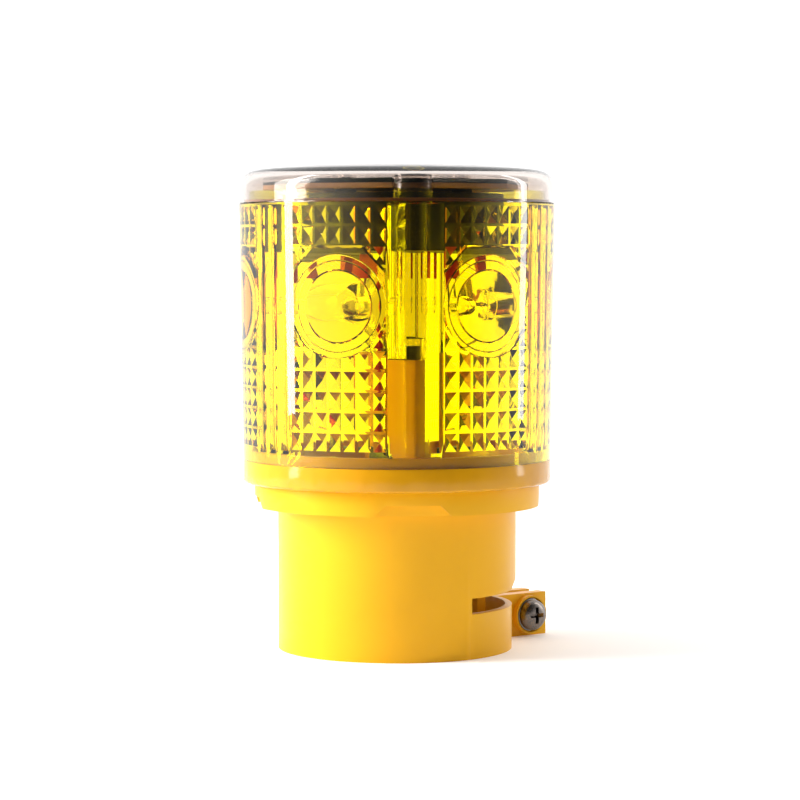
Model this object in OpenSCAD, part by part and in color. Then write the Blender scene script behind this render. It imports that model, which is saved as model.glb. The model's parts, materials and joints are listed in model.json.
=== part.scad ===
// Solar barricade warning light that clamps onto a round post.
// Millimetres, +Z up. The origin is the centre of the socket's mouth,
// and the clamp's ears point along +X.

/* [Socket] */
// Bore that the post goes up, across
post_bore_d = 65.4; // [54:0.2:66]
// Wall of the socket tube
socket_wall = 3.15; // [2.5:0.05:3.5]
// Height from the socket's mouth to the collar
socket_h = 43.1; // [40:0.1:60]
// Depth of the bore, from the mouth to the post's stop
post_depth = 38; // [34:0.5:38]
// Width of the ledge that stops the post
stop_ledge = 3.7; // [2:0.1:5]
// Height of the notched collar
collar_h = 7; // [6:0.5:10]
// Ledge of the collar, inside the ring above it
collar_ledge = 3.35; // [2:0.05:4]
// Thickness of the ceiling above the recess
ceiling_t = 3; // [2.5:0.5:4]
// Height of the four notches in the collar
notch_h = 3.2; // [2:0.1:4]
// Width of a notch at its top
notch_w = 16; // [10:0.5:20]
// Depth of a notch into the collar
notch_depth = 3.6; // [2:0.1:5]

/* [Clamp] */
// Height of the clamp's band, below the slot
band_h = 13.2; // [12:0.1:16]
// Height of the slot that frees the band
slot_h = 4.7; // [3:0.1:6]
// Half of the angle that the slot runs through
slot_half_angle = 89; // [60:1:100]
// How far the band's outside is set in at the ears
band_set_in = 1.5; // [0.5:0.1:1.6]
// Gap between the two ears
ear_gap = 4; // [2:0.5:8]
// Thickness of an ear
ear_t = 4; // [3.5:0.1:6]
// Reach of the ears from the tube
ear_reach = 17.7; // [16:0.1:22]
// Distance of the clamp screw from the tube
screw_out = 10.4; // [10:0.1:11]
// Height of the round boss that seats the clamp screw's washer
seat_boss_h = 2; // [0:0.1:3]
// Thread of the clamp screw, across
screw_d = 4.9; // [3.9:0.1:5]
// Length of the clamp screw under its head
screw_len = 16; // [15:0.5:20]

/* [Lens and cap] */
// Outside of the lens at its top, across
lens_d = 95; // [94:1:120]
// Height of the lens
lens_h = 76.2; // [70:0.1:100]
// How much the lens's radius shrinks from top to bottom
lens_draft = 1.2; // [0:0.1:1.5]
// Wall of the lens at its bottom
lens_wall = 2.1; // [1.8:0.1:2.5]
// Depth of the upright flutes inside the lens
flute_depth = 0.7; // [0.3:0.1:1]
// Width of one flute
flute_w = 5.3; // [4:0.1:6]
// Height of the round eyes above the lens's foot
eye_up = 46.3; // [40:0.1:50]
// Radius of a round eye
eye_r = 10.2; // [8:0.1:12]
// Height of the cap
cap_h = 13.7; // [13.5:0.1:16]
// Height of the cap's upright side
cap_side_h = 4.7; // [4:0.1:6]
// Radius of the cap's rounded edge
cap_edge_r = 5.5; // [4:0.1:6]
// Wall of the cap
cap_wall = 2.2; // [1.8:0.1:2.6]

/* [Base ring] */
// Height of the glossy ring under the lens
ring_h = 7; // [6:0.1:9]
// How far the ring is set in from the lens's top
ring_set_in = 1.3; // [0.5:0.1:2]
// Floor of the base
floor_t = 2.5; // [2:0.1:3.5]
// Side of the two square bosses
boss_side = 8; // [7.8:0.1:10]
// Height of the bosses above the lens's foot
boss_up = 31.1; // [20:0.1:36]
// Radius of the clear pillars that stand on the bosses
pillar_r = 5.4; // [4.5:0.1:6]

/* [Switch] */
// Edge of the switch's square plate around its round collar
plate_margin = 1.25; // [1:0.05:2]
// Thickness of the switch's square plate
plate_t = 2.4; // [2:0.1:2.6]
// Height of the round collar on the plate
guard_h = 1; // [0.5:0.1:1.2]
// Wall of the round collar
guard_wall = 1.55; // [1.2:0.05:2]
// Radius of the push button
button_r = 4.6; // [4.2:0.1:5.6]
// How far the push button stands proud of the round collar
button_proud = 4.6; // [4:0.1:4.7]
// Travel of the push button
button_travel = 2.5; // [1:0.1:2.5]

/* [Electronics] */
// Height of the electronics tray
tray_h = 16.7; // [13.8:0.1:17.8]
// Wall of the electronics tray
tray_wall = 1.6; // [1.2:0.1:2]
// How far the tray's rim hangs below the cap's side
tray_drop = 2.9; // [-1:0.1:3]
// Radius of the battery cell
battery_r = 5.25; // [5:0.05:5.25]
// Length of the battery cell
battery_len = 42; // [38:0.5:43]
// Radius of the circle that the LED leads stand on
lead_ring_r = 25.5; // [22:0.5:25.5]
// Radius of an LED's bulb
led_r = 2.5; // [1.5:0.1:2.6]

/* [Hidden] */
$fn = 96;

// Overlap that keeps cuts clear of a face
cut = 0.5;
// Gap round pieces that lie beside each other
gap = 0.4;
// Radial clearance of a turning or sliding fit
fit = 0.06;
// Angle of the first boss; the bosses stand opposite each other
boss_angle = 240;
// The flat panels of the lens lie between its fluted strips
panel_count = 6;
strip_angle = 240;
panel_angle = strip_angle + 180 / panel_count;
panel_angles = [for (k = [0:panel_count - 1]) panel_angle + 360 / panel_count * k];
// Angle of the first of the collar's notches
notch_angle = 239.5;

// Heights
z_collar = socket_h;
z_ring = z_collar + collar_h;
z_floor = z_ring + floor_t;
z_lens = z_ring + ring_h;
z_cap = z_lens + lens_h;
z_top = z_cap + cap_h;
z_boss = z_lens + boss_up;
z_ceiling = z_ring - ceiling_t;
z_eye = z_lens + eye_up;

// Socket
post_bore_r = post_bore_d / 2;
recess_r = post_bore_r - stop_ledge;
socket_r = post_bore_r + socket_wall;
ring_r = lens_d / 2 - ring_set_in;
collar_r = ring_r - collar_ledge;
slot_top = band_h + slot_h;

// Clamp hardware: the screw's axis lies along Y
screw_x = socket_r + screw_out;
screw_z = band_h / 2;
screw_r = screw_d / 2;
head_r = 4.8;
head_h = 3;
washer_r = 5;
washer_t = 1;
seat_r = washer_r + gap;
seat_depth = 1.2;
seat_boss_r = seat_r + 0.6;
nut_flats = 8;
nut_h = 4;
nut_pocket = 2.6;
ear_face = ear_gap / 2 + ear_t;
seat_face = ear_face + seat_boss_h;
y_washer = seat_depth - seat_face;
y_head = y_washer - washer_t;
y_nut = ear_face - nut_pocket;

// Lens
lens_top_r = lens_d / 2;
lens_foot_r = lens_top_r - lens_draft;
lens_in_r = lens_foot_r - lens_wall;
flute_r = (pow(flute_w / 2, 2) + pow(flute_depth, 2)) / (2 * flute_depth);
flute_pitch = 2 * asin(flute_w / 2 / lens_in_r);
spigot_r = lens_in_r - 0.3;
spigot_wall = 2.4;
spigot_h = 3;
seal_w = 1.2;
seal_t = 1;
seal_r = lens_in_r + 0.4;

// Cap: the dome's arc meets the rounded edge smoothly
cap_top_gap = cap_side_h - cap_h;
cap_edge_x = lens_top_r - cap_edge_r;
dome_r = (pow(cap_edge_r, 2) - pow(cap_edge_x, 2) - pow(cap_top_gap, 2))
    / (2 * (cap_top_gap + cap_edge_r));
// Angle from the axis at which the dome gives way to the rounded edge
dome_angle = atan2(cap_edge_x, dome_r + cap_top_gap);

// Bosses, pillars and their screws
inner_limit_r = lens_in_r - flute_depth - 0.3;
pillar_at = inner_limit_r - pillar_r;
case_screw_r = 1.3;
case_head_r = 2.2;
case_head_h = 1.8;
case_screw_len = 10;
case_bridge = 6;
access_r = case_head_r + 0.4;

// Solar panel
carrier_t = 1.7;
board_t = 1.8;
cell_t = 0.3;
ribbon_t = 0.1;
panel_top_drop = 6.2;
z_board = z_top - panel_top_drop - board_t;
z_cells = z_board + board_t;
z_carrier = z_board - carrier_t;
octagon_r = inner_limit_r - 3;
cell_rows = 8;
cell_gap = 0.8;
stud_at = 24;
stud_r = 3;
stud_angles = [for (k = [0:3]) boss_angle + 45 + 90 * k];

// Tray, board and what is on it
z_tray_top = z_cap + tray_drop;
z_tray = z_tray_top - tray_h;
tray_r = pillar_at - pillar_r - gap;
z_pcb = z_tray + tray_wall;
pcb_t = 1.6;
pcb_r = tray_r - tray_wall - 0.4;
z_parts = z_pcb + pcb_t;
tray_screw_r = 1.15;
tray_screw_len = 10;
tray_bridge = 3.2;
tray_access_r = 2.1;
z_battery = z_parts + 0.7 + battery_r;
clip_w = 8;
clip_t = 0.6;

// LEDs and their leads
lead_r = 0.3;
lead_half = 1.27;
sleeve_w = 4.6;
sleeve_t = 2.6;
sleeve_h = 8;
led_len = 8.6;
led_flange_r = 2.9;
led_flange_t = 1;
// Distance of an LED's back from its leads
led_off = 1.8;

// Switch: the plate hangs under the ceiling
seal_plate_t = 0.6;
z_plate_top = z_ceiling - seal_plate_t;
z_plate = z_plate_top - plate_t;
z_guard = z_plate - guard_h;
z_button = z_guard - button_proud;
guard_bore_r = button_r + 0.6;
guard_r = guard_bore_r + guard_wall;
plate_side = 2 * (guard_r + plate_margin);
plate_slant = 0.75;
body_side = 12;
body_top = z_floor + 8;
body_flange_side = 15;
body_flange_t = 1.5;
stem_r = 2;
stem_top = z_floor + 1;
button_wall = 1.2;
button_face_t = 2;
spring_wire_r = 0.25;
spring_r = 2.9;
spring_turns = 4;
z_spring = z_button + button_face_t;
pin_at = 3.5;
pin_h = 4;

// Socket screws come up through the ceiling into posts on the floor
socket_screw_r = 1.3;
socket_head_r = 2.6;
socket_screw_at = recess_r - socket_head_r - 5.4;
socket_head_h = 1.9;
socket_screw_len = 8;
socket_post_r = 3;
socket_post_h = 5;

// Wires: the route in the upright plane through the rear boss, as distance
// from the axis, sideways place and height
wire_r = 0.6;
wire_route = [
    [3.5, 1.6, 65], [3.6, 1.6, 67.5], [5, 1.7, 69.5], [8, 1.8, 70.5], [12, 2, 71],
    [16, 2.2, 71.5], [20, 2.4, 72.5], [23, 2.5, 74.5], [24.6, 2.5, 77.5],
    [25, 2.5, 82], [25, 2.5, 90], [25, 2.5, 98], [25, 2.5, 106],
    [25, 2.5, 112], [25, 2.5, 116], [25, 2.5, 119]
];
wire_at = [wire_route[len(wire_route) - 1][0], wire_route[len(wire_route) - 1][1]];
wire_sides = 8;

// Points of an arc about [cx, cy], in steps from angle a0 to a1
function arc_points(cx, cy, r, a0, a1, steps) =
    [for (k = [0:steps]) let(a = a0 + (a1 - a0) * k / steps) [cx + r * cos(a), cy + r * sin(a)]];

// Outline of the cap's outside, pulled in by a wall, from the axis to its foot
function cap_outline(wall) = concat(
    arc_points(0, z_top - dome_r, dome_r - wall, 90, 90 - dome_angle, 8),
    arc_points(cap_edge_x, z_cap + cap_side_h, cap_edge_r - wall, 90 - dome_angle, 0, 8)
);

// Height of the dome's inside at a distance from the axis
function dome_inside(r) = z_top - dome_r + sqrt(pow(dome_r - cap_wall, 2) - pow(r, 2));

module ring(r_out, r_in, h) {
    difference() {
        cylinder(r = r_out, h = h);
        translate([0, 0, -cut]) cylinder(r = r_in, h = h + 2 * cut);
    }
}

// Copies its children to a radius at each angle, with X outwards
module around(angles, radius) {
    for (a = angles) rotate(a) translate([radius, 0, 0]) children();
}

// Pan-head screw along +Z with its head's underside at the origin
module pan_screw(shank_r, length, head_r, head_h) {
    slot_w = head_r * 0.3;
    slot_l = head_r * 1.15;
    difference() {
        union() {
            cylinder(r = shank_r, h = length);
            translate([0, 0, -head_h * 0.55]) cylinder(r = head_r, h = head_h * 0.55);
            translate([0, 0, -head_h]) cylinder(r1 = head_r * 0.72, r2 = head_r, h = head_h * 0.45);
        }
        for (a = [0, 90]) {
            rotate(a) translate([-slot_l / 2, -slot_w / 2, -head_h - cut]) {
                cube([slot_l, slot_w, head_h * 0.6 + cut]);
            }
        }
    }
}

// Centred square plate
module plate(side, h) {
    translate([-side / 2, -side / 2, 0]) cube([side, side, h]);
}

// Closed tube with flat ends along a list of points
module swept_tube(points, r, sides) {
    n = len(points);
    heading = [
        for (k = [0:n - 1])
            let(d = points[min(k + 1, n - 1)] - points[max(k - 1, 0)])
            d / norm(d)
    ];
    side = [for (d = heading) let(c = cross(d, [0.02, 1, 0.01])) c / norm(c)];
    rings = [
        for (k = [0:n - 1], s = [0:sides - 1])
            let(a = 360 * s / sides, up = cross(heading[k], side[k]))
            points[k] + r * cos(a) * side[k] + r * sin(a) * up
    ];
    walls = [
        for (k = [0:n - 2], s = [0:sides - 1])
            let(t = (s + 1) % sides)
            [k * sides + s, (k + 1) * sides + s, (k + 1) * sides + t, k * sides + t]
    ];
    first_end = [[for (s = [0:sides - 1]) s]];
    last_end = [[for (s = [sides - 1:-1:0]) (n - 1) * sides + s]];
    polyhedron(rings, concat(walls, first_end, last_end));
}

/* ---- Socket and clamp ---- */

// One notch in the collar's lower edge, with slanted sides
module collar_notch() {
    rotate(notch_angle) translate([collar_r - notch_depth, 0, z_collar]) {
        rotate([90, 0, 90]) linear_extrude(notch_depth + cut) {
            polygon([
                [-notch_w / 2 - notch_h * 1.2, -cut],
                [notch_w / 2 + notch_h * 1.2, -cut],
                [notch_w / 2, notch_h],
                [-notch_w / 2, notch_h]
            ]);
        }
    }
}

// Sector of a disc on the +X side, half_angle either way
module sector(r, half_angle, h) {
    linear_extrude(h) {
        polygon(concat([[0, 0]], [
            for (k = [-6:6]) 1.2 * r * [cos(half_angle * k / 6), sin(half_angle * k / 6)]
        ]));
    }
}

// What the band loses outside, so that it thins towards the ears
module band_relief() {
    relief_top = slot_top + 2.5 * band_set_in;
    difference() {
        translate([0, -socket_r - cut, -cut]) {
            cube([socket_r + cut, 2 * socket_r + 2 * cut, relief_top + cut]);
        }
        translate([-band_set_in, 0, -2 * cut]) cylinder(r = socket_r, h = slot_top + 2 * cut);
        translate([-band_set_in, 0, slot_top]) {
            cylinder(r1 = socket_r, r2 = socket_r + band_set_in, h = relief_top - slot_top);
        }
    }
}

// Plain ear block, from inside the wall out to the ear's edge
module ear_block(y) {
    ear_foot = socket_r - socket_wall / 2 - band_set_in;
    translate([ear_foot, y, 0]) cube([socket_r + ear_reach - ear_foot, ear_t, band_h]);
}

module socket() {
    color("gold") difference() {
        union() {
            difference() {
                cylinder(r = socket_r, h = z_collar + cut);
                band_relief();
            }
            translate([0, 0, z_collar]) cylinder(r = collar_r, h = collar_h);
            ear_block(ear_gap / 2);
            ear_block(-ear_gap / 2 - ear_t);
            translate([screw_x, 0, screw_z]) rotate([90, 0, 0]) {
                translate([0, 0, ear_face - cut]) cylinder(r = seat_boss_r, h = seat_boss_h + cut);
            }
        }
        translate([0, 0, -cut]) cylinder(r = post_bore_r, h = post_depth + cut);
        translate([0, 0, post_depth - cut]) cylinder(r = recess_r, h = z_ceiling - post_depth + cut);
        // slot over the band, and the split between the ears
        translate([0, 0, band_h]) sector(socket_r, slot_half_angle, slot_h);
        translate([0, -ear_gap / 2, -cut]) cube([2 * socket_r, ear_gap, band_h + 2 * cut]);
        for (k = [0:3]) rotate(90 * k) collar_notch();
        // clamp screw's hole, the washer's seat and the nut's pocket
        translate([screw_x, 0, screw_z]) rotate([90, 0, 0]) {
            translate([0, 0, -ear_face - cut]) cylinder(r = screw_r + gap, h = ear_face + seat_face + 2 * cut);
            translate([0, 0, -y_washer]) cylinder(r = seat_r, h = seat_depth + cut);
            translate([0, 0, -ear_face - cut]) {
                cylinder(r = (nut_flats + 0.2) / sqrt(3), h = nut_pocket + cut, $fn = 6);
            }
        }
        // switch and screw holes through the ceiling
        translate([0, 0, z_ceiling - cut]) plate(body_side + 2 * gap, ceiling_t + 2 * cut);
        translate([0, 0, z_ceiling - cut]) around([45, 135, 225, 315], socket_screw_at) {
            cylinder(r = socket_screw_r + 0.3, h = ceiling_t + 2 * cut);
        }
    }
}

module clamp_screw() {
    color("dimgray") translate([screw_x, y_head, screw_z]) rotate([-90, 0, 0]) {
        pan_screw(screw_r, screw_len, head_r, head_h);
    }
}

module clamp_washer() {
    color("silver") translate([screw_x, y_washer, screw_z]) rotate([90, 0, 0]) {
        ring(washer_r, screw_r + 0.3, washer_t);
    }
}

module clamp_nut() {
    color("silver") translate([screw_x, y_nut, screw_z]) rotate([-90, 0, 0]) difference() {
        cylinder(r = nut_flats / sqrt(3), h = nut_h, $fn = 6);
        translate([0, 0, -cut]) cylinder(r = screw_r + fit, h = nut_h + 2 * cut);
    }
}

/* ---- Base ring ---- */

module base_ring() {
    color("goldenrod") difference() {
        union() {
            rotate_extrude() polygon(concat(
                [[0, z_ring], [ring_r - 1, z_ring]],
                arc_points(ring_r - 1, z_ring + 1, 1, -90, 0, 4),
                [
                    [ring_r, z_lens],
                    [seal_r + seal_w, z_lens],
                    [seal_r + seal_w, z_lens - seal_t],
                    [seal_r, z_lens - seal_t],
                    [seal_r, z_lens],
                    [spigot_r, z_lens],
                    [spigot_r, z_lens + spigot_h],
                    [spigot_r - spigot_wall, z_lens + spigot_h],
                    [spigot_r - spigot_wall, z_floor],
                    [0, z_floor]
                ]
            ));
            intersection() {
                around([boss_angle, boss_angle + 180], pillar_at) {
                    rotate(45) translate([0, 0, z_floor - cut]) plate(boss_side, z_boss - z_floor + cut);
                }
                translate([0, 0, z_ring]) cylinder(r = inner_limit_r, h = z_boss);
            }
            around([45, 135, 225, 315], socket_screw_at) {
                translate([0, 0, z_floor - cut]) cylinder(r = socket_post_r, h = socket_post_h + cut);
            }
        }
        // deep holes up the bosses for the case screws
        around([boss_angle, boss_angle + 180], pillar_at) {
            translate([0, 0, z_ring - cut]) cylinder(r = access_r, h = z_boss - case_bridge - z_ring + cut);
            translate([0, 0, z_ring]) cylinder(r = case_screw_r + 0.3, h = z_boss - z_ring + cut);
        }
        around([45, 135, 225, 315], socket_screw_at) {
            translate([0, 0, z_ring - cut]) cylinder(r = socket_screw_r + fit, h = socket_screw_len);
        }
        translate([0, 0, z_ring - cut]) plate(body_side + 2 * gap, floor_t + 2 * cut);
    }
}

module base_seal() {
    color("darkorange") translate([0, 0, z_lens - seal_t]) ring(seal_r + seal_w, seal_r, seal_t);
}

module case_screws() {
    color("silver") around([boss_angle, boss_angle + 180], pillar_at) {
        translate([0, 0, z_boss - case_bridge]) {
            pan_screw(case_screw_r, case_screw_len, case_head_r, case_head_h);
        }
    }
}

module socket_screws() {
    color("silver") around([45, 135, 225, 315], socket_screw_at) {
        translate([0, 0, z_ceiling]) {
            pan_screw(socket_screw_r, socket_screw_len, socket_head_r, socket_head_h);
        }
    }
}

/* ---- Lens ---- */

module lens() {
    flute_angles = [
        for (k = [0:panel_count - 1], j = [-1:1])
            strip_angle + 360 / panel_count * k + flute_pitch * j
    ];
    margin = spigot_h + 0.6;
    color("orange", 0.6) union() {
        rotate_extrude() polygon([
            [lens_in_r, z_lens],
            [lens_foot_r, z_lens],
            [lens_top_r, z_cap],
            [lens_in_r, z_cap]
        ]);
        // flutes and eyes stand in from the wall, and end inside it
        intersection() {
            union() {
                around(flute_angles, lens_in_r - flute_depth + flute_r) {
                    translate([0, 0, z_lens + margin]) {
                        cylinder(r = flute_r, h = lens_h - 2 * margin, $fn = 64);
                    }
                }
                around(panel_angles, lens_in_r - 1.6) {
                    translate([0, 0, z_eye]) rotate([0, 90, 0]) cylinder(r = eye_r, h = 3, $fn = 64);
                }
            }
            translate([0, 0, z_lens]) cylinder(r = lens_in_r + 0.8, h = lens_h);
        }
    }
}

/* ---- Cap ---- */

module top_cap() {
    color("whitesmoke", 0.5) difference() {
        union() {
            difference() {
                union() {
                    rotate_extrude() polygon(concat(
                        [[0, z_cap]],
                        cap_outline(0),
                        [[lens_top_r, z_cap]]
                    ));
                    translate([0, 0, z_cap - spigot_h]) cylinder(r = spigot_r, h = spigot_h + cut);
                }
                rotate_extrude() polygon(concat(
                    [[0, z_cap + cut]],
                    cap_outline(cap_wall),
                    [[lens_top_r - cap_wall, z_cap + 1.5], [spigot_r - spigot_wall, z_cap + 1.5],
                     [spigot_r - spigot_wall, z_cap + cut]]
                ));
                translate([0, 0, z_cap - spigot_h - cut]) {
                    cylinder(r = spigot_r - spigot_wall, h = spigot_h + 2 * cut + 0.2);
                }
                translate([0, 0, z_cap - cut]) ring(seal_r + seal_w, seal_r, seal_t + cut);
            }
            around([boss_angle, boss_angle + 180], pillar_at) {
                translate([0, 0, z_boss]) {
                    cylinder(r = pillar_r, h = dome_inside(pillar_at + pillar_r) + 0.6 - z_boss);
                }
            }
            around(stud_angles, stud_at) {
                translate([0, 0, z_cells]) {
                    cylinder(r = stud_r, h = dome_inside(stud_at + stud_r) + 0.6 - z_cells);
                }
            }
        }
        around([boss_angle, boss_angle + 180], pillar_at) {
            translate([0, 0, z_boss - cut]) cylinder(r = case_screw_r + fit, h = case_screw_len - 4);
        }
        around(stud_angles, stud_at) {
            translate([0, 0, z_cells - cut]) cylinder(r = tray_screw_r + fit, h = cut + 2.4);
        }
    }
}

module cap_seal() {
    color("darkorange") translate([0, 0, z_cap]) ring(seal_r + seal_w, seal_r, seal_t);
}

/* ---- Solar panel ---- */

// Octagon with a corner towards each boss
module octagon(r, h) {
    rotate(boss_angle) cylinder(r = r, h = h, $fn = 8);
}

// Octagonal slab with room for the pillars and holes for the tray's screws
module panel_slab(r, h, stud_hole_r) {
    difference() {
        octagon(r, h);
        translate([0, 0, -cut]) around([boss_angle, boss_angle + 180], pillar_at) {
            cylinder(r = pillar_r + gap, h = h + 2 * cut);
        }
        translate([0, 0, -cut]) around(stud_angles, stud_at) {
            cylinder(r = stud_hole_r, h = h + 2 * cut);
        }
    }
}

module solar_carrier() {
    color("burlywood") translate([0, 0, z_carrier]) difference() {
        panel_slab(octagon_r, carrier_t, tray_screw_r + 0.3);
        translate([0, 0, -cut]) difference() {
            octagon(octagon_r - 2.5, carrier_t - 1.2 + cut);
            around([boss_angle, boss_angle + 180], pillar_at) cylinder(r = pillar_r + 2, h = 9);
            around(stud_angles, stud_at) cylinder(r = stud_r + 1, h = 9);
        }
    }
}

module solar_board() {
    color("darkslategray") translate([0, 0, z_board]) {
        panel_slab(octagon_r, board_t, tray_screw_r + 0.3);
    }
}

module solar_cells() {
    inset_r = octagon_r - 1.6;
    flat_half = inset_r * cos(22.5);
    pitch = 2 * flat_half / cell_rows;
    color("saddlebrown") translate([0, 0, z_cells]) intersection() {
        difference() {
            octagon(inset_r, cell_t);
            translate([0, 0, -cut]) around([boss_angle, boss_angle + 180], pillar_at) {
                cylinder(r = pillar_r + gap + 1, h = 2);
            }
            translate([0, 0, -cut]) around(stud_angles, stud_at) cylinder(r = stud_r + gap, h = 2);
        }
        rotate(boss_angle + 22.5) union() {
            for (k = [0:cell_rows - 1]) {
                translate([-octagon_r, -flat_half + pitch * k + cell_gap / 2, 0]) {
                    cube([2 * octagon_r, pitch - cell_gap, cell_t]);
                }
            }
        }
    }
}

module cell_ribbons() {
    flat_half = (octagon_r - 1.6) * cos(22.5);
    ribbon_w = 1.2;
    ribbon_x = (stud_at * (sin(22.5) + cos(22.5))) / 2;
    color("silver") rotate(boss_angle + 22.5) {
        for (x = [-ribbon_x, ribbon_x]) {
            translate([x - ribbon_w / 2, -flat_half + cell_gap, z_cells + cell_t]) {
                cube([ribbon_w, 2 * (flat_half - cell_gap), ribbon_t]);
            }
        }
    }
}

/* ---- Electronics ---- */

module electronics_tray() {
    color("black") difference() {
        union() {
            translate([0, 0, z_tray]) difference() {
                cylinder(r = tray_r, h = tray_h);
                translate([0, 0, tray_wall]) cylinder(r = tray_r - tray_wall, h = tray_h);
            }
            around(stud_angles, stud_at) {
                translate([0, 0, z_tray]) cylinder(r = stud_r, h = z_carrier - z_tray);
            }
        }
        around(stud_angles, stud_at) {
            translate([0, 0, z_tray - cut]) {
                cylinder(r = tray_access_r + 0.2, h = z_carrier - z_tray - tray_bridge + cut);
                cylinder(r = tray_screw_r + 0.3, h = z_carrier - z_tray + 2 * cut);
            }
        }
        // ways through the floor for the LED leads and the wires
        around(panel_angles, lead_ring_r) {
            translate([-lead_r - 0.3, -lead_half - lead_r - 0.3, z_tray - cut]) {
                cube([2 * (lead_r + 0.3), 2 * (lead_half + lead_r + 0.3), tray_wall + 2 * cut]);
            }
        }
        rotate(boss_angle + 180) for (s = [-1, 1]) {
            translate([wire_at[0], s * wire_at[1], z_tray - cut]) {
                cylinder(r = wire_r + 0.3, h = tray_wall + 2 * cut);
            }
        }
    }
}

module tray_screws() {
    color("silver") around(stud_angles, stud_at) {
        translate([0, 0, z_carrier - tray_bridge]) {
            pan_screw(tray_screw_r, z_cells + 2 - z_carrier + tray_bridge, tray_access_r, 1.6);
        }
    }
}

module circuit_board() {
    color("darkgreen") translate([0, 0, z_pcb]) difference() {
        cylinder(r = pcb_r, h = pcb_t);
        translate([0, 0, -cut]) around(stud_angles, stud_at) cylinder(r = stud_r + 0.3, h = 3);
        translate([0, 0, -cut]) around(panel_angles, lead_ring_r) {
            for (s = [-1, 1]) translate([0, s * lead_half, 0]) cylinder(r = lead_r + 0.2, h = 3);
        }
    }
}

// Places its children on the board, with X towards the first boss
module on_board(x, y) {
    rotate(boss_angle) translate([x, y, z_parts]) children();
}

module driver_chip() {
    legs = 4;
    color("dimgray") on_board(13, 3) {
        translate([-2, -2.5, 0.3]) cube([4, 5, 1.5]);
        for (s = [-1, 1], k = [0:legs - 1]) {
            translate([s * 2.4 - 0.6, -1.9 + 1.27 * k - 0.2, 0]) cube([1.2, 0.4, 0.5]);
        }
    }
}

module inductor() {
    color("saddlebrown") on_board(14, -7) {
        cylinder(r = 4, h = 1);
        cylinder(r = 2.8, h = 6.5);
        translate([0, 0, 5.5]) cylinder(r = 4, h = 1);
    }
}

module capacitor() {
    color("midnightblue") on_board(-13.5, 5) {
        cylinder(r = 3.15, h = 8.5);
        translate([0, 0, 8.5]) cylinder(r = 2.7, h = 0.5);
    }
}

module resistors() {
    color("tan") for (k = [0:2]) on_board(-12 - 3.2 * k, -6) {
        translate([0, 0, 1.1]) rotate([90, 0, 0]) cylinder(r = 1.1, h = 6, center = true);
        for (s = [-1, 1]) translate([0, s * 3.8, 0]) {
            cylinder(r = 0.3, h = 1.4);
            translate([0, s * 0.3, 1.1]) rotate([s * 90, 0, 0]) cylinder(r = 0.3, h = 1.2);
        }
    }
}

module transistor() {
    color("black") on_board(20.5, 4.5) {
        for (k = [-1:1]) translate([0, 1.27 * k, 0]) cylinder(r = 0.3, h = 2.5);
        translate([-1.2, -2.3, 2]) cube([2.4, 4.6, 4.6]);
    }
}

module battery_cell() {
    color("limegreen") rotate(boss_angle) translate([0, 0, z_battery]) rotate([90, 0, 0]) {
        translate([0, 0, -battery_len / 2]) cylinder(r = battery_r, h = battery_len);
        translate([0, 0, battery_len / 2]) cylinder(r = 1.9, h = 1);
    }
}

module battery_clips() {
    side_x = battery_r + 0.3;
    color("silver") rotate(boss_angle) for (s = [-1, 1]) {
        translate([0, s * (battery_len / 2 - clip_w), z_parts]) {
            translate([-side_x, -clip_w / 2, 0]) cube([2 * side_x, clip_w, clip_t]);
            for (t = [0, 1]) mirror([t, 0, 0]) translate([side_x, -clip_w / 2, 0]) {
                cube([clip_t, clip_w, battery_r + 1]);
            }
        }
    }
}

module led() {
    rotate([0, 90, 0]) translate([0, 0, lead_ring_r + led_off]) {
        cylinder(r = led_flange_r, h = led_flange_t);
        cylinder(r = led_r, h = led_len - led_r);
        translate([0, 0, led_len - led_r]) sphere(r = led_r);
    }
}

module leds() {
    color("lightyellow", 0.8) around(panel_angles, 0) {
        translate([0, 0, z_eye]) led();
    }
}

module led_leads() {
    color("silver") around(panel_angles, lead_ring_r) {
        for (s = [-1, 1]) translate([0, s * lead_half, 0]) {
            translate([-lead_r, -lead_r, z_eye - lead_r]) {
                cube([2 * lead_r, 2 * lead_r, z_parts + 0.6 - z_eye + lead_r]);
                cube([lead_r + led_off, 2 * lead_r, 2 * lead_r]);
            }
        }
    }
}

module led_sleeves() {
    color("red") around(panel_angles, lead_ring_r) {
        translate([0, 0, z_tray - sleeve_h]) difference() {
            translate([-sleeve_t / 2, -sleeve_w / 2, 0]) cube([sleeve_t, sleeve_w, sleeve_h]);
            for (s = [-1, 1]) translate([-lead_r - 0.1, s * lead_half - lead_r - 0.1, -cut]) {
                cube([2 * lead_r + 0.2, 2 * lead_r + 0.2, sleeve_h + 2 * cut]);
            }
        }
    }
}

// One wire from the switch's pin up to the board, on side s of the rear boss
module switch_wire(s) {
    start = [[pin_at, s * wire_route[0][1], body_top + pin_h]];
    rest_of_route = [for (p = wire_route) if (p[2] > body_top + pin_h + 1) [p[0], s * p[1], p[2]]];
    finish = [[wire_at[0], s * wire_at[1], z_pcb]];
    rotate(boss_angle + 180) swept_tube(concat(start, rest_of_route, finish), wire_r, wire_sides);
}

module wire_red() {
    color("red") switch_wire(1);
}

module wire_black() {
    color("black") switch_wire(-1);
}

/* ---- Switch ---- */

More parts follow.
